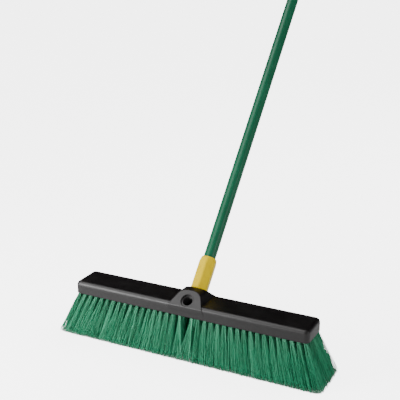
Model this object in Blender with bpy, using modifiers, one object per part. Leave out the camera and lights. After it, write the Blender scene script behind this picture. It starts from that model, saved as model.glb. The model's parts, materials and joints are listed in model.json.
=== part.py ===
"""Push broom: a moulded block on sheared bristle tufts, with a handle that screws into its rear socket.

Metres, +Z up. The origin is on the floor at the centre of the bristle footprint.
+X runs along the block and +Y points back, to the side that the handle leans towards.
"""

import math

import bmesh
import bpy
from mathutils import Matrix, Vector

MM = 0.001
GAP = 0.3 * MM

# Block
BLOCK_LENGTH = 457.2 * MM
BLOCK_DEPTH = 63.5 * MM
BLOCK_HEIGHT = 23.5 * MM
BLOCK_CORNER = 9 * MM
TOP_ROUND = 7.6 * MM
ROUND_STEPS = 6
BOTTOM_ROUND = 1.0 * MM
TRIM = 76.2 * MM

# Tufts: a grid of columns along the block, five rows deep
COLUMN_PITCH = 12.2 * MM
COLUMNS_PER_SIDE = 18
ROW_PITCH = 12.4 * MM
ROWS_PER_SIDE = 2
HOLE_RADIUS = 3.0 * MM
HOLE_DEPTH = 10 * MM
MERGE_HEIGHT = 58 * MM
FOOT_LENGTH = 522 * MM
FOOT_DEPTH = 103 * MM
TUFT_FOOT = 13 * MM
# The footprint's corners are rounded like a superellipse of this power, this many columns past the last
CORNER_POWER = 24
CORNER_REACH = 1.2

# Sockets and handle, in frames whose +Z is the socket's axis and whose origin is the mouth's centre
HANDLE_ELEVATION = math.radians(48.5)
MOUTH_OUT = 22.7 * MM
MOUTH_HEIGHT = 104.4 * MM
BOSS_HALF = 25 * MM
BOSS_RISE = 20.5 * MM
BOSS_FOOT = 33 * MM
# The arch over a mouth is a superellipse of this power, a little squarer than an ellipse
BOSS_POWER = 2.3
APRON_OUT = 32.6 * MM
APRON_FOOT = 86 * MM
APRON_HALF = 37 * MM
PITCH = 5.08 * MM
THREAD_ROOT = 8.1 * MM
THREAD_CREST = 9.45 * MM
THREAD_GAP = 0.4 * MM
THREAD_STEPS = 24
# Heights in the thread's profile, as shares of the pitch
CREST_TOP = 0.78
CREST_FOOT = 0.48
ROOT_TOP = 0.26
# How much narrower than the thread's root its nose is at the end
NOSE_TAPER = 0.72
TIP_THREAD = 17.5 * MM
TIP_LENGTH = 22 * MM
SOCKET_THREAD = 20 * MM
SOCKET_DEPTH = 24.5 * MM
MOUTH_RADIUS = 11.5 * MM
MOUTH_DEPTH = 3 * MM
MOUTH_CHAMFER = 0.6 * MM
ARCH_STEPS = 24
HUMP_ROUND = 1.2 * MM

# Handle
TUBE_RADIUS = 11.1 * MM
TUBE_WALL = 0.8 * MM
HANDLE_LENGTH = 1524 * MM
HEX_RADIUS = 17 * MM
HEX_TURN = math.radians(41)
HEX_ROUND = 2.6 * MM
FERRULE_RADIUS = 16.2 * MM
FERRULE_LENGTH = 63.5 * MM
SHOULDER_LENGTH = 10.5 * MM
NECK_WALL = 2.4 * MM
COLLAR_HEIGHT = 4 * MM
COLLAR_PROUD = 0.2 * MM
COLLAR_ROUND = 0.5 * MM
TUBE_START = 14 * MM
RIVET_HEIGHT = 36 * MM
RIVET_HEAD = 3.6 * MM
RIVET_SHANK = 2 * MM
RIVET_DOME = 1.3 * MM
RIVET_SWELL = 1 * MM
RIVET_TAIL = 4 * MM
PLUG_LENGTH = 14 * MM
CAP_WALL = 1.4 * MM
CAP_FLOOR = 2 * MM
CAP_SLEEVE = 80 * MM
CAP_TAB = 22 * MM
CAP_FLAT = 4.5 * MM
CAP_TAPER = math.radians(6)
CAP_SHOULDER = 8 * MM
HANG_HOLE = 4.6 * MM
HANG_DROP = 10 * MM

UNDERSIDE = TRIM
TOP = TRIM + BLOCK_HEIGHT
# How much wider the grid of tufts is on the floor than at the block
FAN_X = (FOOT_LENGTH / 2 + GAP) / (COLUMN_PITCH * (COLUMNS_PER_SIDE + 0.5))
FAN_Y = (FOOT_DEPTH - TUFT_FOOT) / (2 * ROW_PITCH * ROWS_PER_SIDE)


def clear_scene():
    for obj in list(bpy.data.objects):
        bpy.data.objects.remove(obj, do_unlink=True)


def new_collection(name):
    collection = bpy.data.collections.new(name)
    bpy.context.scene.collection.children.link(collection)
    return collection


def material(name, colour, roughness, metallic=0.0):
    mat = bpy.data.materials.new(name)
    mat.use_nodes = True
    shader = mat.node_tree.nodes["Principled BSDF"]
    shader.inputs["Base Color"].default_value = (*colour, 1)
    shader.inputs["Roughness"].default_value = roughness
    shader.inputs["Metallic"].default_value = metallic
    mat.diffuse_color = (*colour, 1)
    return mat


def to_object(name, bm, collection, mat=None):
    """Turns a bmesh into an object, with all its faces pointing out."""
    bmesh.ops.recalc_face_normals(bm, faces=bm.faces)
    mesh = bpy.data.meshes.new(name)
    bm.to_mesh(mesh)
    bm.free()
    mesh.shade_smooth()
    mesh.set_sharp_from_angle(angle=math.radians(35))
    obj = bpy.data.objects.new(name, mesh)
    collection.objects.link(obj)
    if mat:
        mesh.materials.append(mat)
    return obj


def as_cutter(obj):
    obj.hide_render = True
    obj.display_type = "WIRE"
    return obj


def boolean(obj, other, operation):
    modifier = obj.modifiers.new(other.name, "BOOLEAN")
    modifier.object = other
    modifier.operation = operation
    modifier.solver = "EXACT"


def bake(obj):
    """Replaces an object's mesh by its evaluated one, so that its modifiers are applied."""
    graph = bpy.context.evaluated_depsgraph_get()
    mesh = bpy.data.meshes.new_from_object(obj.evaluated_get(graph))
    obj.modifiers.clear()
    obj.data = mesh
    mesh.name = obj.name
    return obj


def cone(bm, bottom_radius, top_radius, bottom, top, sides, turn=0.0):
    """A closed cone or cylinder along Z, between two heights."""
    place = Matrix.Translation((0, 0, (bottom + top) / 2)) @ Matrix.Rotation(turn, 4, "Z")
    bmesh.ops.create_cone(
        bm,
        cap_ends=True,
        segments=sides,
        radius1=bottom_radius,
        radius2=top_radius,
        depth=top - bottom,
        matrix=place,
    )


def weld(mesh):
    """Joins the points that a closed profile, or one turn of a helix and the next, have in common."""
    bm = bmesh.new()
    bm.from_mesh(mesh)
    bmesh.ops.remove_doubles(bm, verts=bm.verts, dist=0.000001)
    bm.to_mesh(mesh)
    bm.free()


def turned(name, profile, collection, mat=None, steps=48, turns=1, rise=0.0):
    """A profile of (radius, height) points, given down its outer side, swept about Z by a Screw."""
    bm = bmesh.new()
    points = [bm.verts.new((radius, 0, height)) for radius, height in profile]
    for start, end in zip(points, points[1:]):
        bm.edges.new((start, end))
    mesh = bpy.data.meshes.new(name)
    bm.to_mesh(mesh)
    bm.free()
    obj = bpy.data.objects.new(name, mesh)
    collection.objects.link(obj)
    screw = obj.modifiers.new("Turn", "SCREW")
    screw.steps = steps
    screw.render_steps = steps
    screw.screw_offset = rise
    screw.iterations = turns
    screw.use_merge_vertices = True
    screw.merge_threshold = 0.00001
    if mat:
        mesh.materials.append(mat)
    bake(obj)
    weld(obj.data)
    obj.data.shade_smooth()
    obj.data.set_sharp_from_angle(angle=math.radians(35))
    return obj


def socket_frame(side):
    """The frame of the rear (side 1) or front (side -1) socket: +Z out of the mouth, +Y down its face."""
    lean = Matrix.Rotation(HANDLE_ELEVATION - math.pi / 2, 4, "X")
    about = Matrix.Rotation(0 if side > 0 else math.pi, 4, "Z")
    return Matrix.Translation((0, side * MOUTH_OUT, MOUTH_HEIGHT)) @ about @ lean


def thread(name, root, crest, bottom, top, collection):
    """A right-hand threaded rod along Z between two heights, with the same phase at any radius."""
    profile = [
        (root, PITCH),
        (crest, CREST_TOP * PITCH),
        (crest, CREST_FOOT * PITCH),
        (root, ROOT_TOP * PITCH),
        (root, 0),
    ]
    turns = math.ceil((top - bottom) / PITCH) + 3
    start = (math.floor(bottom / PITCH) - 1) * PITCH
    shifted = [(radius, height + start) for radius, height in profile]
    rod = turned(name, shifted, collection, steps=THREAD_STEPS, turns=turns, rise=PITCH)
    bm = bmesh.new()
    bm.from_mesh(rod.data)
    ends = [edge for edge in bm.edges if edge.is_boundary]
    caps = bmesh.ops.holes_fill(bm, edges=ends, sides=0)["faces"]
    bmesh.ops.triangulate(bm, faces=caps)
    bmesh.ops.recalc_face_normals(bm, faces=bm.faces)
    bm.to_mesh(rod.data)
    bm.free()
    keep = bmesh.new()
    cone(keep, crest * 1.5, crest * 1.5, bottom, top, 16)
    trim = to_object(name + "_trim", keep, collection)
    boolean(rod, trim, "INTERSECT")
    bake(rod)
    bpy.data.objects.remove(trim, do_unlink=True)
    return rod


def mouth_outline():
    """The hump's end face in the socket frame: a broad arch over the bore whose foot flares to the apron."""
    drop = (APRON_OUT - MOUTH_OUT) / math.sin(HANDLE_ELEVATION)
    outline = [(BOSS_FOOT, drop), (-BOSS_FOOT, drop)]
    for step in range(ARCH_STEPS + 1):
        along = math.cos(math.pi * step / ARCH_STEPS)
        across = math.copysign(abs(along) ** (2 / BOSS_POWER), along)
        rise = max(0, 1 - abs(across) ** BOSS_POWER) ** (1 / BOSS_POWER)
        outline.append((BOSS_HALF * across, -BOSS_RISE * rise))
    return outline


def make_hump(collection):
    """The hump is the hull of its two leaning end faces and of the aprons under them."""
    bm = bmesh.new()
    for side in (1, -1):
        frame = socket_frame(side)
        for across, down in mouth_outline():
            bm.verts.new(frame @ Vector((across, down, 0)))
        for across in (-APRON_HALF, APRON_HALF):
            bm.verts.new((across, side * APRON_OUT, APRON_FOOT))
    bmesh.ops.convex_hull(bm, input=bm.verts)
    loose = [vert for vert in bm.verts if not vert.link_faces]
    bmesh.ops.delete(bm, geom=loose, context="VERTS")
    bmesh.ops.dissolve_limit(bm, angle_limit=math.radians(1), verts=bm.verts, edges=bm.edges)
    hump = to_object("hump_form", bm, collection)
    soften = hump.modifiers.new("Soften", "BEVEL")
    soften.width = HUMP_ROUND
    soften.segments = 2
    soften.limit_method = "ANGLE"
    soften.angle_limit = math.radians(32)
    return as_cutter(bake(hump))


def edges_where(bm, test):
    return [edge for edge in bm.edges if test(edge.verts[0].co, edge.verts[1].co)]


def block_form(name, collection, mat):
    """A plain bar with rounded upright corners, a broad round on top and a small one below."""
    bm = bmesh.new()
    size = Matrix.Diagonal((BLOCK_LENGTH, BLOCK_DEPTH, BLOCK_HEIGHT, 1))
    bmesh.ops.create_cube(bm, size=1, matrix=Matrix.Translation((0, 0, TRIM + BLOCK_HEIGHT / 2)) @ size)
    upright = edges_where(bm, lambda a, b: abs(a.z - b.z) > BLOCK_HEIGHT / 2)
    bmesh.ops.bevel(bm, geom=upright, offset=BLOCK_CORNER, segments=ROUND_STEPS, profile=0.5, affect="EDGES")
    rim = edges_where(bm, lambda a, b: min(a.z, b.z) > TOP - GAP)
    bmesh.ops.bevel(bm, geom=rim, offset=TOP_ROUND, segments=ROUND_STEPS, profile=0.5, affect="EDGES")
    hem = edges_where(bm, lambda a, b: max(a.z, b.z) < TRIM + GAP)
    bmesh.ops.bevel(bm, geom=hem, offset=BOTTOM_ROUND, segments=1, profile=0.5, affect="EDGES")
    return to_object(name, bm, collection, mat)


def socket_cutters(side, collection):
    """The bore of one socket: a thread, a narrower nose below it and a wider mouth with a chamfer."""
    crest = THREAD_CREST + THREAD_GAP
    root = THREAD_ROOT + THREAD_GAP
    name = "rear" if side > 0 else "front"
    cutters = [thread(name + "_thread", root, crest, -SOCKET_THREAD, 2 * MM, collection)]
    nose = bmesh.new()
    cone(nose, root * NOSE_TAPER, root - GAP, -SOCKET_DEPTH, -SOCKET_THREAD + MM, 32)
    cutters.append(to_object(name + "_nose", nose, collection))
    mouth = [
        (0, 2 * MM),
        (MOUTH_RADIUS + MOUTH_CHAMFER + 2 * MM, 2 * MM),
        (MOUTH_RADIUS, -MOUTH_CHAMFER),
        (MOUTH_RADIUS, -MOUTH_DEPTH),
        (0, -MOUTH_DEPTH),
    ]
    cutters.append(turned(name + "_mouth", mouth, collection, steps=40))
    for cutter in cutters:
        cutter.matrix_world = socket_frame(side)
        as_cutter(cutter)
    return cutters


def tuft_places():
    """(column, row) of every tuft. The centre column keeps its middle tuft: the sockets fill the rest."""
    for column in range(-COLUMNS_PER_SIDE, COLUMNS_PER_SIDE + 1):
        for row in range(-ROWS_PER_SIDE, ROWS_PER_SIDE + 1):
            if column or not row:
                yield column, row


def spread(column, row, height):
    """Where a tuft's centre is at a height: on its hole's place at the underside, fanned out below."""
    fall = (UNDERSIDE - height) / UNDERSIDE
    across = column * COLUMN_PITCH * (1 + (FAN_X - 1) * fall)
    back = row * ROW_PITCH * (1 + (FAN_Y - 1) * fall)
    return Vector((across, back, height))


def leaning_prism(bm, column, row, bottom, top, radius_bottom, radius_top):
    """A six-sided stem along a tuft's own line, between two heights."""
    rings = []
    for height, radius in ((bottom, radius_bottom), (top, radius_top)):
        centre = spread(column, row, height)
        ring = []
        for step in range(6):
            angle = math.tau * step / 6
            offset = Vector((radius * math.cos(angle), radius * math.sin(angle), 0))
            ring.append(bm.verts.new(centre + offset))
        rings.append(ring)
    bm.faces.new(list(reversed(rings[0])))
    bm.faces.new(rings[1])
    for step in range(6):
        after = (step + 1) % 6
        bm.faces.new((rings[0][step], rings[0][after], rings[1][after], rings[1][step]))


def make_block(parts, cutters):
    plastic = material("black_plastic", (0.016, 0.014, 0.015), 0.42)
    block = block_form("block", parts, plastic)
    boolean(block, make_hump(cutters), "UNION")
    for side in (1, -1):
        for cutter in socket_cutters(side, cutters):
            boolean(block, cutter, "DIFFERENCE")
    drill = bmesh.new()
    for column, row in tuft_places():
        leaning_prism(drill, column, row, UNDERSIDE - MM, UNDERSIDE + HOLE_DEPTH, HOLE_RADIUS, HOLE_RADIUS)
    boolean(block, as_cutter(to_object("tuft_drill", drill, cutters)), "DIFFERENCE")
    return block


def column_half_depth(column):
    """Half the footprint's depth at a column: the footprint's corners are rounded."""
    if column == 0:
        return ROW_PITCH
    reach = abs(column) / (COLUMNS_PER_SIDE + CORNER_REACH)
    return FOOT_DEPTH / 2 * (1 - reach**CORNER_POWER) ** 0.5


def make_column(column, parts, cutters, mat):
    """One row of tufts across the block, spread and merged into one brush near the floor."""
    rows = [row for place, row in tuft_places() if place == column]
    half_depth = column_half_depth(column)
    brush = bmesh.new()
    corners = []
    for height, outer in ((0, half_depth), (MERGE_HEIGHT, None)):
        thick = spread(1, 0, height).x / 2 - GAP if height == 0 else HOLE_RADIUS + 0.5 * MM
        centre = spread(column, 0, height)
        if outer is None:
            outer = spread(0, max(rows), height).y + HOLE_RADIUS
        for across, back in ((-1, -1), (1, -1), (1, 1), (-1, 1)):
            corners.append(brush.verts.new(centre + Vector((across * thick, back * outer, 0))))
    low, high = corners[:4], corners[4:]
    brush.faces.new(list(reversed(low)))
    brush.faces.new(high)
    for step in range(4):
        after = (step + 1) % 4
        brush.faces.new((low[step], low[after], high[after], high[step]))
    name = f"tuft_column_{column + COLUMNS_PER_SIDE + 1:02d}"
    obj = to_object(name, brush, parts, mat)
    stems = bmesh.new()
    for row in rows:
        top = UNDERSIDE + HOLE_DEPTH - GAP
        seat = HOLE_RADIUS - GAP
        leaning_prism(stems, column, row, MERGE_HEIGHT - 6 * MM, top, seat, seat)
    cutter = as_cutter(to_object(name + "_stems", stems, cutters))
    boolean(obj, cutter, "UNION")
    bake(obj)
    bpy.data.objects.remove(cutter, do_unlink=True)
    return obj


def make_handle_frame(parts):
    """An empty on the screw's axis, which every part of the handle hangs from."""
    frame = bpy.data.objects.new("handle_frame", None)
    parts.objects.link(frame)
    frame.matrix_world = socket_frame(1)
    return frame


def hex_body(collection):
    """The ferrule's six-sided grip, with rounded corners."""
    bm = bmesh.new()
    cone(bm, HEX_RADIUS, HEX_RADIUS, 0, FERRULE_LENGTH + MM, 6, HEX_TURN - math.pi / 2)
    upright = edges_where(bm, lambda a, b: abs(a.z - b.z) > FERRULE_LENGTH / 2)
    bmesh.ops.bevel(bm, geom=upright, offset=HEX_ROUND, segments=3, profile=0.5, affect="EDGES")
    return as_cutter(to_object("ferrule_grip", bm, collection))


def make_ferrule(parts, cutters):
    yellow = material("yellow_plastic", (0.62, 0.44, 0.02), 0.35)
    shoulder = FERRULE_LENGTH - SHOULDER_LENGTH
    neck = TUBE_RADIUS + NECK_WALL
    profile = [
        (0, FERRULE_LENGTH),
        (neck, FERRULE_LENGTH),
        (neck + COLLAR_ROUND, FERRULE_LENGTH - COLLAR_ROUND),
        (FERRULE_RADIUS, shoulder),
        (FERRULE_RADIUS, GAP + MM),
        (0, GAP + MM),
    ]
    ferrule = turned("ferrule", profile, parts, yellow)
    boolean(ferrule, hex_body(cutters), "INTERSECT")
    collar = FERRULE_RADIUS + COLLAR_PROUD
    stem = THREAD_ROOT - 0.5 * MM
    core = [
        (0, COLLAR_HEIGHT),
        (collar - COLLAR_ROUND, COLLAR_HEIGHT),
        (collar, COLLAR_HEIGHT - COLLAR_ROUND),
        (collar, GAP + COLLAR_ROUND),
        (collar - COLLAR_ROUND, GAP),
        (stem, GAP),
        (stem, -TIP_THREAD),
        (THREAD_ROOT * NOSE_TAPER, -TIP_LENGTH),
        (0, -TIP_LENGTH),
    ]
    boolean(ferrule, as_cutter(turned("ferrule_core", core, cutters)), "UNION")
    rod = thread("ferrule_thread", THREAD_ROOT, THREAD_CREST, -TIP_THREAD, 1.5 * MM, cutters)
    boolean(ferrule, as_cutter(rod), "UNION")
    bore = bmesh.new()
    cone(bore, TUBE_RADIUS + GAP, TUBE_RADIUS + GAP, TUBE_START - GAP, FERRULE_LENGTH + MM, 48)
    boolean(ferrule, as_cutter(to_object("ferrule_bore", bore, cutters)), "DIFFERENCE")
    boolean(ferrule, rivet_hole("ferrule_rivet_hole", cutters), "DIFFERENCE")
    return ferrule


def rivet_place():
    """The rivet's frame: +Z out through the flat that faces back and down."""
    turn = Matrix.Rotation(HEX_TURN + math.pi / 6, 4, "Z")
    tip = Matrix.Rotation(math.pi / 2, 4, "Y")
    return Matrix.Translation((0, 0, RIVET_HEIGHT)) @ turn @ tip


def rivet_hole(name, collection):
    bm = bmesh.new()
    cone(bm, RIVET_SHANK + GAP, RIVET_SHANK + GAP, TUBE_RADIUS / 2, 2 * TUBE_RADIUS, 20)
    hole = to_object(name, bm, collection)
    hole.matrix_world = rivet_place()
    return as_cutter(hole)


def make_rivet(parts):
    """A blind rivet: a low head outside the ferrule, a shank and a swollen tail inside the tube."""
    steel = material("rivet_steel", (0.6, 0.6, 0.62), 0.35, 1.0)
    outside = HEX_RADIUS * math.cos(math.pi / 6) + GAP
    inside = TUBE_RADIUS - TUBE_WALL - 2 * GAP
    head = []
    for step in range(4):
        angle = math.pi / 2 * (1 - step / 3)
        head.append((RIVET_HEAD * math.cos(angle), outside + RIVET_DOME * math.sin(angle)))
    head[0] = (0, head[0][1])
    tail = [
        (RIVET_SHANK, outside),
        (RIVET_SHANK, inside),
        (RIVET_SHANK + RIVET_SWELL, inside - GAP),
        (RIVET_SHANK + RIVET_SWELL, inside - RIVET_TAIL + RIVET_SWELL),
        (RIVET_SWELL, inside - RIVET_TAIL),
        (0, inside - RIVET_TAIL),
    ]
    rivet = turned("ferrule_rivet", head + tail, parts, steel, steps=20)
    rivet.matrix_world = rivet_place()
    return rivet


def tube_end():
    return HANDLE_LENGTH - TIP_LENGTH - CAP_TAB - CAP_FLOOR


def make_tube(parts, cutters):
    paint = material("green_paint", (0.006, 0.11, 0.055), 0.35)
    bore = TUBE_RADIUS - TUBE_WALL
    profile = [
        (TUBE_RADIUS, tube_end()),
        (TUBE_RADIUS, TUBE_START),
        (bore, TUBE_START),
        (bore, tube_end()),
        (TUBE_RADIUS, tube_end()),
    ]
    tube = turned("handle_tube", profile, parts, paint)
    boolean(tube, rivet_hole("tube_rivet_hole", cutters), "DIFFERENCE")
    return tube


def make_plug(parts):
    nylon = material("plug_plastic", (0.7, 0.7, 0.66), 0.5)
    radius = TUBE_RADIUS - TUBE_WALL - GAP
    bottom = TUBE_START + GAP
    profile = [
        (0, bottom + PLUG_LENGTH),
        (radius - MM, bottom + PLUG_LENGTH),
        (radius, bottom + PLUG_LENGTH - MM),
        (radius, bottom),
        (0, bottom),
    ]
    return turned("tube_plug", profile, parts, nylon, steps=32)


def make_cap(parts, cutters):
    """The hang-up grip: a sleeve over the tube's end, flattened into a tab with a hole."""
    black = material("cap_plastic", (0.02, 0.02, 0.02), 0.45)
    end = tube_end()
    top = end + CAP_FLOOR + CAP_TAB
    radius = TUBE_RADIUS + CAP_WALL
    crown = []
    for step in range(1, 5):
        angle = math.pi / 2 * (1 - step / 4)
        crown.append((radius * math.cos(angle), top - CAP_SHOULDER * (1 - math.sin(angle))))
    crown[0] = (crown[0][0], top)
    profile = [
        (0, top),
        *crown,
        (radius, end - CAP_SLEEVE + MM),
        (radius - MM / 2, end - CAP_SLEEVE),
        (0, end - CAP_SLEEVE),
    ]
    cap = turned("hang_cap", profile, parts, black)
    for side in (1, -1):
        flat = bmesh.new()
        bmesh.ops.create_cube(flat, size=1)
        place = Matrix.Translation((side * (CAP_FLAT + radius), 0, top - CAP_TAB / 2 + 3 * MM))
        shape = Matrix.Diagonal((2 * radius, 4 * radius, CAP_TAB, 1))
        flat.transform(place @ Matrix.Rotation(-side * CAP_TAPER, 4, "Y") @ shape)
        boolean(cap, as_cutter(to_object(f"cap_flat_{side}", flat, cutters)), "DIFFERENCE")
    hole = bmesh.new()
    cone(hole, HANG_HOLE, HANG_HOLE, -2 * radius, 2 * radius, 32)
    hole.transform(Matrix.Translation((0, 0, top - HANG_DROP)) @ Matrix.Rotation(math.pi / 2, 4, "Y"))
    boolean(cap, as_cutter(to_object("hang_hole", hole, cutters)), "DIFFERENCE")
    bore = bmesh.new()
    cone(bore, TUBE_RADIUS + GAP, TUBE_RADIUS + GAP, end - CAP_SLEEVE - MM, end + GAP, 48)
    boolean(cap, as_cutter(to_object("cap_bore", bore, cutters)), "DIFFERENCE")
    return cap


def main():
    clear_scene()
    parts = new_collection("push_broom")
    cutters = new_collection("cutters")
    make_block(parts, cutters)
    bristle = material("green_bristle", (0.035, 0.26, 0.14), 0.5)
    for column in range(-COLUMNS_PER_SIDE, COLUMNS_PER_SIDE + 1):
        make_column(column, parts, cutters, bristle)
    frame = make_handle_frame(parts)
    pieces = [make_ferrule(parts, cutters), make_tube(parts, cutters), make_cap(parts, cutters)]
    pieces += [make_rivet(parts), make_plug(parts)]
    helpers = [modifier.object for piece in pieces for modifier in piece.modifiers if modifier.object]
    for piece in pieces + helpers:
        piece.parent = frame


main()
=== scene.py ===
"""Looks of the push broom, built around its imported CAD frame.

Metres, in the frame's own axes: the origin is on the floor at the centre of the bristle footprint,
+X runs along the block, +Y points back to the side that the handle leans towards and +Z is up.
"""

import itertools
import json
import math

import bmesh
import bpy
import numpy as np
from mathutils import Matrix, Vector

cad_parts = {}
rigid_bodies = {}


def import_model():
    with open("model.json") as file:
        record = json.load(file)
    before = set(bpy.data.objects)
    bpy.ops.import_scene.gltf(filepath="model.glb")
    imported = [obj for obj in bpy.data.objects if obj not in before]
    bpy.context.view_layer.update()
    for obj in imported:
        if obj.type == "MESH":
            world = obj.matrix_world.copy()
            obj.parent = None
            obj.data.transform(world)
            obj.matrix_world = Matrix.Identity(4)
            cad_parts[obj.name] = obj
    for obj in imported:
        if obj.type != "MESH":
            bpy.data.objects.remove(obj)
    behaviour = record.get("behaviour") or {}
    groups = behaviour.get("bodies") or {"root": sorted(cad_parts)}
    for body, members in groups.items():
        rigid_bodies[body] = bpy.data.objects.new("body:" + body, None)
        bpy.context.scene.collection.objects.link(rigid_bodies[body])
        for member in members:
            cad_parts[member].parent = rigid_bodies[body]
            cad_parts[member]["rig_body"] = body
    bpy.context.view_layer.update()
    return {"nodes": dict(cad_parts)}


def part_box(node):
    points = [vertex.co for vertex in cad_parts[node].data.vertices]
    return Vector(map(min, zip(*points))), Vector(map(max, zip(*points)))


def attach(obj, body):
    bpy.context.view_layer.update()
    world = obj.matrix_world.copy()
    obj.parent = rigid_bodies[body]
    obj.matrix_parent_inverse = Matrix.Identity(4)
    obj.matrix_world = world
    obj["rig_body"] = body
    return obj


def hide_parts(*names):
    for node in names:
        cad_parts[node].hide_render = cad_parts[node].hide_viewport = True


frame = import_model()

MM = 0.001
SEED = 20

# Camera
CAMERA_AZIMUTH = math.radians(26.67)
CAMERA_ELEVATION = math.radians(18.12)
CAMERA_ROLL = math.radians(0.15)
CAMERA_DISTANCE = 1.4816
CAMERA_TARGET = Vector((0.0134, 0, 0.2845))
CAMERA_LENS = 78.5

# Surround and floor
# How bright both look to the camera
PALE = 4.5
# How much light the surround throws on the broom
SURROUND_LIGHT = 0.48
# What gloss mirrors of the surround, from in front of the broom (-Y) to behind it
MIRRORED_FRONT = 0.3
MIRRORED_REAR = 0.012
FRONT_Y = -0.6
REAR_Y = 0.5
# Where gloss sees a bright panel overhead, how bright it is, and the cosines of its outer and inner edges
OVERHEAD = (-0.427, -0.206, 0.881)
OVERHEAD_GLOSS = 4.5
OVERHEAD_OUTER = 0.9
OVERHEAD_INNER = 0.97
FLOOR_HALF = 30
FLOOR_DROP = 0.2 * MM
# How far inside the footprint's edge the floor has stopped glowing, as a painted shadow where the bristles
# stand on it
SHADE_INSET = 4 * MM

# Lights, as (name, azimuth and elevation in degrees, distance, size, watts), and whether gloss mirrors them
LIGHTS = (
    (("key", -42, 14, 1.3, 0.78, 30), True),
    (("fill", 88, 18, 2.6, 1.0, 12), True),
    (("rear", 150, 48, 2.2, 1.0, 24), False),
)
LIGHTS_AIM = Vector((0, 0, 0.15))

# Hard pieces
WELD = 0.002 * MM
SHARP_ANGLE = math.radians(38)

# Bristles
COLUMN_PITCH = 12.2 * MM
ROW_PITCH = 12.4 * MM
COLUMNS_PER_SIDE = 18
ROWS_PER_SIDE = 2
TUFT_ROOT = 2.55 * MM
TUFT_DEPTH = 6 * MM
LOCKS_ACROSS = 3
STRANDS_PER_LOCK = 12
STRAND_RADIUS = 0.3 * MM
STRAND_TIP = 0.85
STRAND_SIDES = 3
STRAND_RINGS = 8
TIP_RAGGED = 0.6 * MM
# Radius of the footprint's corners
CORNER_ROUND = 14 * MM
# How a tuft's locks and strands spread on the floor, in shares of the tuft's cell
LOCK_JITTER = 0.08
STRAND_SPREAD = 0.19
# How strands spread in their hole, and the most of it, in shares of TUFT_ROOT
ROOT_SPREAD = 0.2
ROOT_LIMIT = 0.75
# How far out and how wide the tufts beside the sockets stand on the floor, in shares of the usual
BESIDE_GAP = 0.58
BESIDE_GAP_WIDTH = 1.6
# The power of the fall by which those tufts open
BESIDE_GAP_OPENING = 1.6
# How much the tone differs between tufts and between locks, of 0 to 1
TUFT_TONE = 0.18
LEAST_LOCK_TONE = 0.1
MOST_LOCK_TONE = 0.9
# How tufts lean and how locks and strands wave on their way down
TUFT_LEAN = 0.6 * MM
LOCK_WAVE = 0.35 * MM
STRAND_WAVE = 0.25 * MM
LEAST_TURN = 1.0
MOST_TURN = 2.4
# How soon strands leave their tuft: the power of what is left of the fall
LEAST_OPENING = 1.0
MOST_OPENING = 1.7
# The inner rows open this many times sooner, except beside the sockets, so that less light comes through
INNER_OPENING = 2.8
# How much of a strand's way out is curved, at most
MOST_BEND = 0.2


def body_of(node):
    return frame["nodes"][node]["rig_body"]


def numbered(name, column):
    """The name with a column's number, which runs from 01 at the block's -X end."""
    return f"{name}_{column + COLUMNS_PER_SIDE + 1:02d}"


def footprint():
    """Half the length and half the depth of the bristles on the floor."""
    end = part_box(numbered("tuft_column", COLUMNS_PER_SIDE))[1].x
    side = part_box(numbered("tuft_column", -1))[1].y
    return end, side


# Camera and light


def direction(azimuth, elevation):
    """The unit vector out from the broom: azimuth 0 is its front (-Y), and a quarter turn is its +X end."""
    level = math.cos(elevation)
    return Vector((math.sin(azimuth) * level, -math.cos(azimuth) * level, math.sin(elevation)))


def make_camera():
    back = direction(CAMERA_AZIMUTH, CAMERA_ELEVATION)
    data = bpy.data.cameras.new("camera")
    data.sensor_width = 36
    data.lens = CAMERA_LENS
    camera = bpy.data.objects.new("camera", data)
    bpy.context.scene.collection.objects.link(camera)
    camera.location = CAMERA_TARGET + back * CAMERA_DISTANCE
    camera.rotation_euler = (-back).to_track_quat("-Z", "Y").to_euler()
    camera.rotation_euler.rotate_axis("Z", CAMERA_ROLL)
    bpy.context.scene.camera = camera


def softbox(name, azimuth, elevation, distance, size, energy):
    """A square area light that faces the broom's head, placed round it as the camera is."""
    out = direction(math.radians(azimuth), math.radians(elevation))
    data = bpy.data.lights.new(name, "AREA")
    data.shape = "SQUARE"
    data.size = size
    data.energy = energy
    light = bpy.data.objects.new(name, data)
    bpy.context.scene.collection.objects.link(light)
    light.location = LIGHTS_AIM + out * distance
    light.rotation_mode = "QUATERNION"
    light.rotation_quaternion = out.to_track_quat("Z", "Y")
    return light


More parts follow.
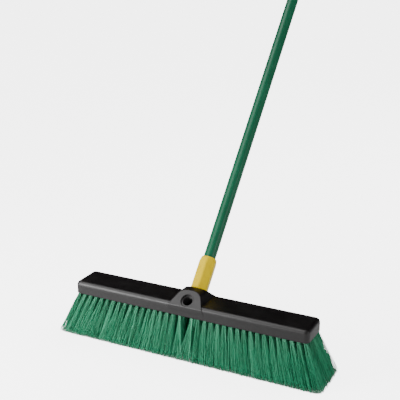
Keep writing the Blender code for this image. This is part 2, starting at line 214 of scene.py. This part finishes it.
def make_world():
    """A surround that is pale to the camera, even in the light it gives, and darker behind to gloss."""
    world = bpy.data.worlds.new("studio")
    bpy.context.scene.world = world
    world.use_nodes = True
    tree = world.node_tree
    tree.nodes.clear()
    link = tree.links.new
    place = tree.nodes.new("ShaderNodeTexCoord")
    split = tree.nodes.new("ShaderNodeSeparateXYZ")
    link(place.outputs["Generated"], split.inputs[0])
    shade = tree.nodes.new("ShaderNodeMapRange")
    shade.inputs["From Min"].default_value = FRONT_Y
    shade.inputs["From Max"].default_value = REAR_Y
    shade.inputs["To Min"].default_value = MIRRORED_FRONT
    shade.inputs["To Max"].default_value = MIRRORED_REAR
    link(split.outputs["Y"], shade.inputs["Value"])
    facing = tree.nodes.new("ShaderNodeVectorMath")
    facing.operation = "DOT_PRODUCT"
    facing.inputs[1].default_value = OVERHEAD
    link(place.outputs["Generated"], facing.inputs[0])
    panel = tree.nodes.new("ShaderNodeMapRange")
    panel.interpolation_type = "SMOOTHSTEP"
    panel.inputs["From Min"].default_value = OVERHEAD_OUTER
    panel.inputs["From Max"].default_value = OVERHEAD_INNER
    panel.inputs["To Min"].default_value = 0
    panel.inputs["To Max"].default_value = OVERHEAD_GLOSS
    link(facing.outputs["Value"], panel.inputs["Value"])
    mirrored = tree.nodes.new("ShaderNodeMath")
    link(shade.outputs["Result"], mirrored.inputs[0])
    link(panel.outputs["Result"], mirrored.inputs[1])
    rays = tree.nodes.new("ShaderNodeLightPath")
    glossy = tree.nodes.new("ShaderNodeMix")
    glossy.inputs["A"].default_value = SURROUND_LIGHT
    link(rays.outputs["Is Glossy Ray"], glossy.inputs["Factor"])
    link(mirrored.outputs[0], glossy.inputs["B"])
    seen = tree.nodes.new("ShaderNodeMix")
    seen.inputs["B"].default_value = PALE
    link(rays.outputs["Is Camera Ray"], seen.inputs["Factor"])
    link(glossy.outputs["Result"], seen.inputs["A"])
    background = tree.nodes.new("ShaderNodeBackground")
    background.inputs["Color"].default_value = (1, 1, 1, 1)
    link(seen.outputs["Result"], background.inputs["Strength"])
    output = tree.nodes.new("ShaderNodeOutputWorld")
    link(background.outputs[0], output.inputs[0])


def past_footprint(paint):
    """How far a place on the floor is past the bristles' rounded footprint, and less than 0 inside it."""
    spot = paint.add("ShaderNodeSeparateXYZ", Vector=paint.place)
    past = paint.tree.nodes.new("ShaderNodeCombineXYZ")
    for axis, half in zip("XY", footprint()):
        away = paint.math("ABSOLUTE", spot.outputs[axis], 0)
        out = paint.math("SUBTRACT", away, half - CORNER_ROUND)
        paint.put(past.inputs[axis], paint.math("MAXIMUM", out, 0))
    size = paint.add("ShaderNodeVectorMath", Vector=past.outputs[0])
    size.operation = "LENGTH"
    return paint.math("SUBTRACT", size.outputs["Value"], CORNER_ROUND)


def make_floor():
    bm = bmesh.new()
    bmesh.ops.create_grid(bm, x_segments=8, y_segments=8, size=FLOOR_HALF)
    mesh = bpy.data.meshes.new("floor")
    bm.to_mesh(mesh)
    bm.free()
    floor = bpy.data.objects.new("floor", mesh)
    bpy.context.scene.collection.objects.link(floor)
    floor.location.z = -FLOOR_DROP
    paint = Finish("floor_paint", roughness=0.8, specular=0.2)
    tone = paint.noise(3, detail=2)
    paint.colour(paint.ramp(tone, (0.3, (0.86, 0.86, 0.86)), (0.7, (0.9, 0.9, 0.9))))
    paint.shader.inputs["Emission Color"].default_value = (1, 1, 1, 1)
    seen = paint.tree.nodes.new("ShaderNodeLightPath").outputs["Is Camera Ray"]
    # The glow fades out inside the footprint: a painted shadow under the bristles
    glow_with_painted_shadow = paint.scale(past_footprint(paint), 0, PALE, -SHADE_INSET, -SHADE_INSET / 2)
    paint.put(paint.shader.inputs["Emission Strength"], paint.math("MULTIPLY", seen, glow_with_painted_shadow))
    mesh.materials.append(paint.material)


# Materials


class Finish:
    """One Principled material and short calls for its node tree."""

    def __init__(self, name, roughness=0.5, metallic=0.0, specular=0.5):
        self.material = bpy.data.materials.new(name)
        self.material.use_nodes = True
        self.tree = self.material.node_tree
        self.shader = self.tree.nodes["Principled BSDF"]
        self.shader.inputs["Roughness"].default_value = roughness
        self.shader.inputs["Metallic"].default_value = metallic
        self.shader.inputs["Specular IOR Level"].default_value = specular
        self.place = self.add("ShaderNodeTexCoord").outputs["Object"]

    def add(self, kind, **inputs):
        node = self.tree.nodes.new(kind)
        for name, value in inputs.items():
            self.put(node.inputs[name.replace("_", " ")], value)
        return node

    def put(self, socket, value):
        if isinstance(value, bpy.types.NodeSocket):
            self.tree.links.new(value, socket)
        else:
            socket.default_value = value

    def noise(self, scale, detail=2, stretch=(1, 1, 1), rough=0.5):
        """Noise with about this many features to the metre, times stretch along each axis."""
        place = self.add("ShaderNodeMapping", Vector=self.place, Scale=stretch).outputs[0]
        node = self.add("ShaderNodeTexNoise", Vector=place, Scale=scale, Detail=detail, Roughness=rough)
        return node.outputs["Fac"]

    def attribute(self, name):
        node = self.tree.nodes.new("ShaderNodeAttribute")
        node.attribute_name = name
        return node.outputs["Fac"]

    def ramp(self, factor, *stops):
        node = self.add("ShaderNodeValToRGB", Fac=factor)
        while len(node.color_ramp.elements) < len(stops):
            node.color_ramp.elements.new(0.5)
        for element, (position, colour) in zip(node.color_ramp.elements, stops):
            element.position = position
            element.color = (*colour, 1)
        return node.outputs["Color"]

    def scale(self, value, low, high, start=0.0, end=1.0):
        """Maps a value from start to end onto low to high, held at both ends."""
        node = self.tree.nodes.new("ShaderNodeMapRange")
        self.put(node.inputs["Value"], value)
        for name, number in (("From Min", start), ("From Max", end), ("To Min", low), ("To Max", high)):
            node.inputs[name].default_value = number
        return node.outputs["Result"]

    def math(self, operation, first, second):
        node = self.tree.nodes.new("ShaderNodeMath")
        node.operation = operation
        self.put(node.inputs[0], first)
        self.put(node.inputs[1], second)
        return node.outputs[0]

    def mix(self, factor, first, second):
        node = self.tree.nodes.new("ShaderNodeMix")
        node.data_type = "RGBA"
        self.put(node.inputs["Factor"], factor)
        for socket, value in ((node.inputs[6], first), (node.inputs[7], second)):
            self.put(socket, value if isinstance(value, bpy.types.NodeSocket) else (*value, 1))
        return node.outputs[2]

    def colour(self, value):
        self.put(self.shader.inputs["Base Color"], value)

    def roughness(self, value):
        self.put(self.shader.inputs["Roughness"], value)

    def bumps(self, *layers):
        """Layers of (height from 0 to 1, depth in metres), one on another."""
        normal = None
        for height, depth in layers:
            node = self.add("ShaderNodeBump", Height=height, Distance=depth)
            if normal:
                self.put(node.inputs["Normal"], normal)
            normal = node.outputs[0]
        self.put(self.shader.inputs["Normal"], normal)


def block_plastic():
    """Moulded black plastic: a fine grain, a faint mottle and greyer scuffs along the block."""
    finish = Finish("block_plastic")
    grain = finish.noise(1500, detail=3)
    mottle = finish.noise(45, detail=4)
    scuff = finish.noise(60, detail=6, stretch=(0.25, 1, 2.4), rough=0.7)
    worn = finish.scale(scuff, 0, 1, 0.56, 0.74)
    base = finish.ramp(mottle, (0.3, (0.0022, 0.0014, 0.0016)), (0.7, (0.0042, 0.0031, 0.0034)))
    finish.colour(finish.mix(finish.math("MULTIPLY", worn, 0.35), base, (0.022, 0.020, 0.019)))
    dullness = finish.math("ADD", mottle, finish.math("MULTIPLY", worn, 0.4))
    finish.roughness(finish.scale(dullness, 0.38, 0.50, 0.3, 1.0))
    finish.bumps((grain, 0.05 * MM), (scuff, 0.06 * MM))
    return finish.material


def bristle_plastic():
    """Extruded green filament. Each strand and lock has its tone; roots are paler and greyer with a painted
    highlight, and tips paler.
    """
    finish = Finish("bristle", specular=0.3)
    strand = finish.attribute("strand")
    lock = finish.attribute("lock")
    reach = finish.attribute("reach")
    tone = finish.math("ADD", finish.math("MULTIPLY", strand, 0.45), finish.math("MULTIPLY", lock, 0.55))
    green = finish.ramp(
        tone,
        (0.1, (0.009, 0.190, 0.086)),
        (0.5, (0.020, 0.282, 0.138)),
        (0.9, (0.052, 0.390, 0.208)),
    )
    # Paler and greyer near the roots, fading out by 0.4 of the way down: a painted highlight
    root_painted_highlight = finish.scale(reach, 0.45, 0, 0.1, 0.4)
    frayed = finish.scale(reach, 0, 0.22, 0.88, 1.0)
    green = finish.mix(root_painted_highlight, green, (0.065, 0.27, 0.155))
    finish.colour(finish.mix(frayed, green, (0.14, 0.46, 0.28)))
    finish.roughness(finish.scale(finish.noise(700, detail=2), 0.34, 0.52, 0.3, 0.7))
    return finish.material


def tube_paint():
    """Green powder coat on steel tube: orange peel, a slow drift in tone and light rubbing."""
    finish = Finish("tube_paint", specular=0.32)
    peel = finish.noise(900, detail=2)
    drift = finish.noise(20, detail=3)
    rubbed = finish.scale(finish.noise(160, detail=5, stretch=(1, 0.2, 0.2), rough=0.65), 0, 1, 0.58, 0.78)
    base = finish.ramp(drift, (0.3, (0.0045, 0.088, 0.040)), (0.7, (0.006, 0.108, 0.051)))
    finish.colour(finish.mix(finish.math("MULTIPLY", rubbed, 0.25), base, (0.03, 0.19, 0.11)))
    finish.roughness(finish.scale(finish.math("ADD", drift, rubbed), 0.30, 0.42, 0.3, 1.2))
    finish.bumps((peel, 0.03 * MM))
    return finish.material


def ferrule_plastic():
    """Moulded yellow plastic, with a fine grain and a little brown grime."""
    finish = Finish("ferrule_plastic", specular=0.3)
    finish.shader.inputs["Specular Tint"].default_value = (1, 0.8, 0.1, 1)
    grain = finish.noise(1100, detail=2)
    cloud = finish.noise(70, detail=3)
    grime = finish.scale(finish.noise(120, detail=6, rough=0.7), 0, 1, 0.55, 0.75)
    base = finish.ramp(cloud, (0.3, (0.68, 0.48, 0.0)), (0.7, (0.76, 0.55, 0.0)))
    finish.colour(finish.mix(finish.math("MULTIPLY", grime, 0.18), base, (0.32, 0.19, 0.002)))
    finish.roughness(finish.scale(cloud, 0.30, 0.42, 0.3, 0.7))
    finish.bumps((grain, 0.02 * MM))
    return finish.material


def plain_plastic(name, dark, light, roughness):
    """Moulded plastic that goes cloudily between two close tones."""
    finish = Finish(name)
    grain = finish.noise(1300, detail=3)
    cloud = finish.noise(80, detail=3)
    finish.colour(finish.ramp(cloud, (0.3, dark), (0.7, light)))
    finish.roughness(finish.scale(cloud, roughness - 0.06, roughness + 0.06, 0.3, 0.7))
    finish.bumps((grain, 0.03 * MM))
    return finish.material


def rivet_steel():
    """Plain steel with a fine, uneven polish."""
    finish = Finish("rivet_steel", metallic=1.0)
    turned = finish.noise(2500, detail=3)
    finish.colour(finish.ramp(turned, (0.3, (0.50, 0.50, 0.52)), (0.7, (0.68, 0.68, 0.70))))
    finish.roughness(finish.scale(turned, 0.26, 0.42, 0.3, 0.7))
    finish.bumps((turned, 0.02 * MM))
    return finish.material


# Hard pieces


def smooth_copy(name, node, material):
    """A welded, smoothly shaded copy of a CAD node, which it stands for."""
    bm = bmesh.new()
    bm.from_mesh(frame["nodes"][node].data)
    bmesh.ops.remove_doubles(bm, verts=bm.verts, dist=WELD)
    bm.verts.index_update()
    mesh = bpy.data.meshes.new(name)
    mesh.from_pydata([v.co for v in bm.verts], [], [[v.index for v in f.verts] for f in bm.faces])
    bm.free()
    mesh.shade_smooth()
    mesh.set_sharp_from_angle(angle=SHARP_ANGLE)
    mesh.materials.append(material)
    piece = bpy.data.objects.new(name, mesh)
    bpy.context.scene.collection.objects.link(piece)
    weigh = piece.modifiers.new("Even shading", "WEIGHTED_NORMAL")
    weigh.keep_sharp = True
    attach(piece, body_of(node))
    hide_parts(node)
    return piece


# Bristles


def tufts_of(column):
    """The rows that have a tuft in this column. The sockets leave the centre column only its middle one."""
    return [0] if column == 0 else range(-ROWS_PER_SIDE, ROWS_PER_SIDE + 1)


def inside_footprint(point, edge):
    """The point, or the nearest one to it inside the footprint, whose corners are rounded."""
    core = edge - CORNER_ROUND
    nearest = point.clip(-core, core)
    past = point - nearest
    return nearest + past * min(1, CORNER_ROUND / max(np.linalg.norm(past), MM))


def strand_lines(column, draw):
    """Centre lines of a column's strands, as (strand, ring, xyz), with each strand's tone and its lock's."""
    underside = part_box("block")[0].z
    top = underside + TUFT_DEPTH
    cell_x = footprint()[0] / (COLUMNS_PER_SIDE + 0.5)
    half_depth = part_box(numbered("tuft_column", column))[1].y
    edge = np.array(footprint()) - STRAND_RADIUS
    rows = tufts_of(column)
    cell_y = 2 * half_depth / len(rows)
    reach = np.linspace(0, 1, STRAND_RINGS)
    grid = (np.arange(LOCKS_ACROSS) + 0.5) / LOCKS_ACROSS - 0.5
    lines, tones, lock_tones = [], [], []
    for row in rows:
        hole = np.array([column * COLUMN_PITCH, row * ROW_PITCH])
        foot = np.array([column * cell_x, row * cell_y])
        cell = np.array([cell_x, cell_y])
        beside_gap = abs(column) == 1 and row
        if beside_gap:
            # The tufts beside the sockets close the gap between them on the floor
            foot[0] *= BESIDE_GAP
            cell[0] *= BESIDE_GAP_WIDTH
        tuft_tone = draw.uniform(-TUFT_TONE, TUFT_TONE)
        lean = draw.normal(0, 1, 2) * TUFT_LEAN
        for place in itertools.product(grid, grid):
            place = np.array(place)
            lock_place = place + draw.uniform(-LOCK_JITTER, LOCK_JITTER, 2)
            lock_tone = draw.uniform(LEAST_LOCK_TONE, MOST_LOCK_TONE) + tuft_tone
            turns = draw.uniform(LEAST_TURN, MOST_TURN)
            wave = draw.normal(0, LOCK_WAVE, 2)
            for _ in range(STRANDS_PER_LOCK):
                own = draw.normal(0, 1, 2)
                end = foot + (lock_place + own * STRAND_SPREAD) * cell + lean
                spread_foot = inside_footprint(end, edge) - foot
                spread_root = (place * 2 + own * ROOT_SPREAD).clip(-ROOT_LIMIT, ROOT_LIMIT) * TUFT_ROOT
                shut = draw.uniform(LEAST_OPENING, MOST_OPENING)
                if column and abs(row) < ROWS_PER_SIDE:
                    shut *= INNER_OPENING
                opening = 1 - (1 - reach) ** shut
                if beside_gap:
                    opening = reach**BESIDE_GAP_OPENING
                bend = draw.uniform(0, MOST_BEND)
                fall = (1 - bend) * reach + bend * reach**2
                across = hole + (foot - hole) * fall[:, None]
                across = across + spread_root + (spread_foot - spread_root) * opening[:, None]
                sway = wave + draw.normal(0, STRAND_WAVE, 2)
                across = across + sway * np.sin(reach * math.pi * turns)[:, None]
                tip = abs(draw.normal(0, TIP_RAGGED))
                lines.append(np.column_stack([across, top + (tip - top) * reach]))
                tones.append(draw.uniform(0, 1))
                lock_tones.append(lock_tone)
    return np.array(lines), np.array(tones), np.array(lock_tones)


def strand_mesh(name, lines):
    """Thin rods round the centre lines, a little thinner at the tip."""
    count, rings, _ = lines.shape
    angles = np.arange(STRAND_SIDES) * math.tau / STRAND_SIDES
    circle = np.column_stack([np.cos(angles), np.sin(angles), np.zeros(STRAND_SIDES)])
    thick = STRAND_RADIUS * (1 + (STRAND_TIP - 1) * np.linspace(0, 1, rings) ** 3)
    points = lines[:, :, None, :] + circle[None, None] * thick[None, :, None, None]
    verts = points.reshape(-1, 3)
    grid = np.arange(count * rings * STRAND_SIDES).reshape(count, rings, STRAND_SIDES)
    upper, lower = grid[:, :-1], grid[:, 1:]
    quads = np.stack([upper, lower, np.roll(lower, -1, 2), np.roll(upper, -1, 2)], -1).reshape(-1, 4)
    ends = np.concatenate([grid[:, -1, ::-1], grid[:, 0]])
    mesh = bpy.data.meshes.new(name)
    mesh.from_pydata(verts.tolist(), [], quads.tolist() + ends.tolist())
    return mesh


def make_bristles(column, material, draw):
    """A column's strands as one piece, in the place of its CAD node."""
    name = numbered("bristles", column)
    node = numbered("tuft_column", column)
    lines, tones, lock_tones = strand_lines(column, draw)
    mesh = strand_mesh(name, lines)
    per_strand = STRAND_RINGS * STRAND_SIDES
    reach = np.tile(np.repeat(np.linspace(0, 1, STRAND_RINGS), STRAND_SIDES), len(lines))
    for label, values in (
        ("strand", np.repeat(tones, per_strand)),
        ("lock", np.repeat(lock_tones, per_strand)),
        ("reach", reach),
    ):
        mesh.attributes.new(label, "FLOAT", "POINT").data.foreach_set("value", values.astype(np.float32))
    mesh.shade_smooth()
    mesh.materials.append(material)
    piece = bpy.data.objects.new(name, mesh)
    bpy.context.scene.collection.objects.link(piece)
    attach(piece, body_of(node))
    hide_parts(node)


def main():
    make_camera()
    make_world()
    make_floor()
    for settings, mirrored in LIGHTS:
        softbox(*settings).visible_glossy = mirrored
    smooth_copy("block_moulding", "block", block_plastic())
    smooth_copy("ferrule_moulding", "ferrule", ferrule_plastic())
    smooth_copy("tube", "handle_tube", tube_paint())
    smooth_copy("rivet", "ferrule_rivet", rivet_steel())
    natural = plain_plastic("plug_plastic", (0.62, 0.62, 0.57), (0.70, 0.70, 0.65), 0.5)
    smooth_copy("plug", "tube_plug", natural)
    black = plain_plastic("cap_plastic", (0.016, 0.016, 0.016), (0.024, 0.024, 0.024), 0.45)
    smooth_copy("cap", "hang_cap", black)
    bristle = bristle_plastic()
    draw = np.random.default_rng(SEED)
    for column in range(-COLUMNS_PER_SIDE, COLUMNS_PER_SIDE + 1):
        make_bristles(column, bristle, draw)
    bpy.context.view_layer.update()


main()
